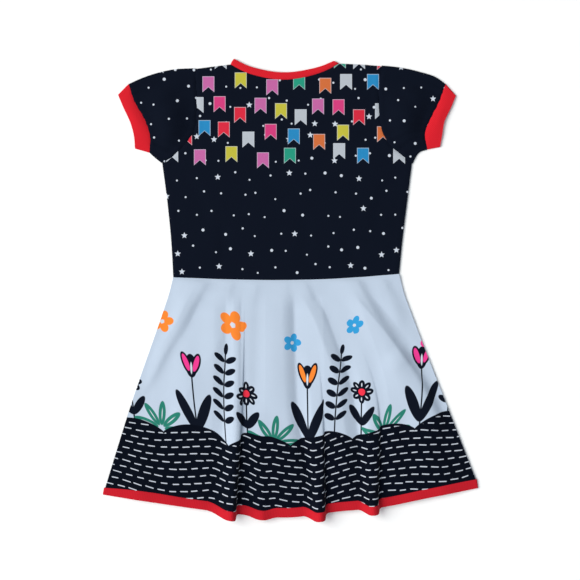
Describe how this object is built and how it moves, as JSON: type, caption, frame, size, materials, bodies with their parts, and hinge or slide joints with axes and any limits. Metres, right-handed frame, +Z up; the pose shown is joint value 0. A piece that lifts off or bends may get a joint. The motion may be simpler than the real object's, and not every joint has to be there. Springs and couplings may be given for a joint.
{
  "type": "child's folk dress, laid flat with its back up",
  "caption": "Short-sleeved jersey dress laid flat, back up: dark printed bodice, flared pale skirt with a dark border, red rib bands.",
  "frame": {"origin": "middle of the bounding box's lowest face, on the surface the dress lies on", "axes": "+X across the dress to the viewer's right, +Y from the hem to the neck, +Z up from the surface"},
  "size_m": [0.4882, 0.6004, 0.0207],
  "materials": {
    "navy_jersey": "matt printed cotton jersey",
    "pale_jersey": "matt printed cotton jersey",
    "red_rib": "matt cotton rib knit"
  },
  "bodies": {
    "root": {"front_bodice": "navy_jersey", "back_bodice": "navy_jersey", "left_sleeve": "navy_jersey", "right_sleeve": "navy_jersey", "front_skirt": "pale_jersey", "back_skirt": "pale_jersey", "neckband": "red_rib", "left_cuff": "red_rib", "right_cuff": "red_rib", "hem_band": "red_rib"}
  },
  "joints": []
}
